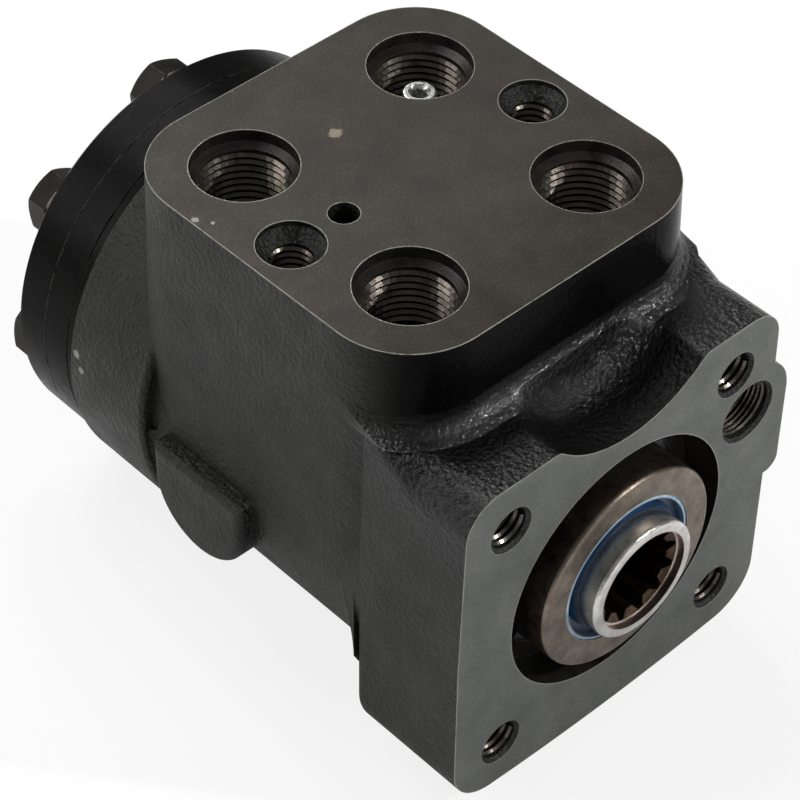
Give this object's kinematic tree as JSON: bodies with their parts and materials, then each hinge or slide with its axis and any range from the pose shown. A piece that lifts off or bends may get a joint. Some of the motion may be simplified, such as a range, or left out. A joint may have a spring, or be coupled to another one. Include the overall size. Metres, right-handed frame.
{
  "type": "orbital steering unit",
  "caption": "Rotary hydraulic steering control valve with a square mounting flange, four threaded ports and a round metering set.",
  "frame": {"origin": "centre of the flange's bolt pattern, on the flange face, on the shaft axis", "axes": "+X to the right seen from the flange, +Y along the shaft axis from the flange to the end cover, +Z towards the port face"},
  "size_m": [0.09, 0.1397, 0.1042],
  "materials": {
    "cast_iron": "black painted rough casting with machined grey faces",
    "black_steel": "smooth satin black",
    "turned_steel": "turned satin steel",
    "ground_steel": "ground and polished steel",
    "sintered_steel": "fine ground steel",
    "screw_steel": "black oxide",
    "spring_steel": "blued spring steel",
    "seal_rubber": "matt black",
    "wiper_blue": "blue polyurethane",
    "bright_steel": "zinc bright",
    "copper_washer": "dark copper"
  },
  "bodies": {
    "fixed_parts": {"housing": "cast_iron", "gland_bushing": "turned_steel", "retaining_ring": "spring_steel", "dust_seal": "wiper_blue", "shaft_seal": "seal_rubber", "gland_o_ring": "seal_rubber", "front_race": "ground_steel", "spacer_plate": "black_steel", "gear_ring": "black_steel", "end_cover": "black_steel", "housing_seal": "seal_rubber", "spacer_seal": "seal_rubber", "cover_seal": "seal_rubber", "cap_screws": "screw_steel", "screw_washers": "copper_washer", "check_valve_body": "bright_steel", "relief_screw": "screw_steel", "relief_spring": "spring_steel", "relief_seat": "turned_steel"},
    "bearing_cage": {"needle_bearing": "ground_steel"},
    "sleeve_group": {"control_sleeve": "ground_steel", "cross_pin": "ground_steel", "rear_race": "ground_steel", "flat_springs": "spring_steel", "curved_springs": "spring_steel"},
    "spool_group": {"control_spool": "ground_steel"},
    "orbit_carrier": {"drive_spacer": "turned_steel"},
    "rotor_group": {"rotor": "sintered_steel"},
    "drive_group": {"drive_link": "turned_steel"},
    "ball_group": {"check_ball": "ground_steel"},
    "poppet_group": {"relief_poppet": "ground_steel"}
  },
  "joints": [
    {"name": "sleeve_spin", "type": "hinge", "parent": "fixed_parts", "child": "sleeve_group", "pos_m": [0, 0, 0], "axis": [0, 1, 0], "continuous": true},
    {"name": "spool_twist", "type": "hinge", "parent": "sleeve_group", "child": "spool_group", "pos_m": [0, 0, 0], "axis": [0, 1, 0], "range_deg": [-8, 8], "stiffness_Nm_per_rad": 12, "deforming": ["flat_springs", "curved_springs"]},
    {"name": "bearing_spin", "type": "hinge", "parent": "fixed_parts", "child": "bearing_cage", "pos_m": [0, 0, 0], "axis": [0, 1, 0], "continuous": true},
    {"name": "rotor_orbit", "type": "hinge", "parent": "fixed_parts", "child": "orbit_carrier", "pos_m": [0, 0, 0], "axis": [0, 1, 0], "continuous": true},
    {"name": "rotor_spin", "type": "hinge", "parent": "orbit_carrier", "child": "rotor_group", "pos_m": [0, 0.11415, -0.0029], "axis": [0, 1, 0], "continuous": true},
    {"name": "drive_spin", "type": "hinge", "parent": "orbit_carrier", "child": "drive_group", "pos_m": [0, 0.04, 0], "axis": [0, 0.9992, -0.0391], "continuous": true},
    {"name": "check_ball_lift", "type": "slide", "parent": "fixed_parts", "child": "ball_group", "axis": [0, 0, -1], "range_m": [0, 0.0015]},
    {"name": "relief_lift", "type": "slide", "parent": "fixed_parts", "child": "poppet_group", "axis": [0, -1, 0], "range_m": [0, 0.0012], "stiffness_N_per_m": 8000, "springref_m": -0.004, "deforming": ["relief_spring"]}
  ],
  "couplings": [
    {"joint": "bearing_spin", "follows": "sleeve_spin", "ratio": 0.5},
    {"joint": "rotor_orbit", "follows": "sleeve_spin", "ratio": -6},
    {"joint": "rotor_spin", "follows": "sleeve_spin", "ratio": 7},
    {"joint": "drive_spin", "follows": "sleeve_spin", "ratio": 7}
  ]
}
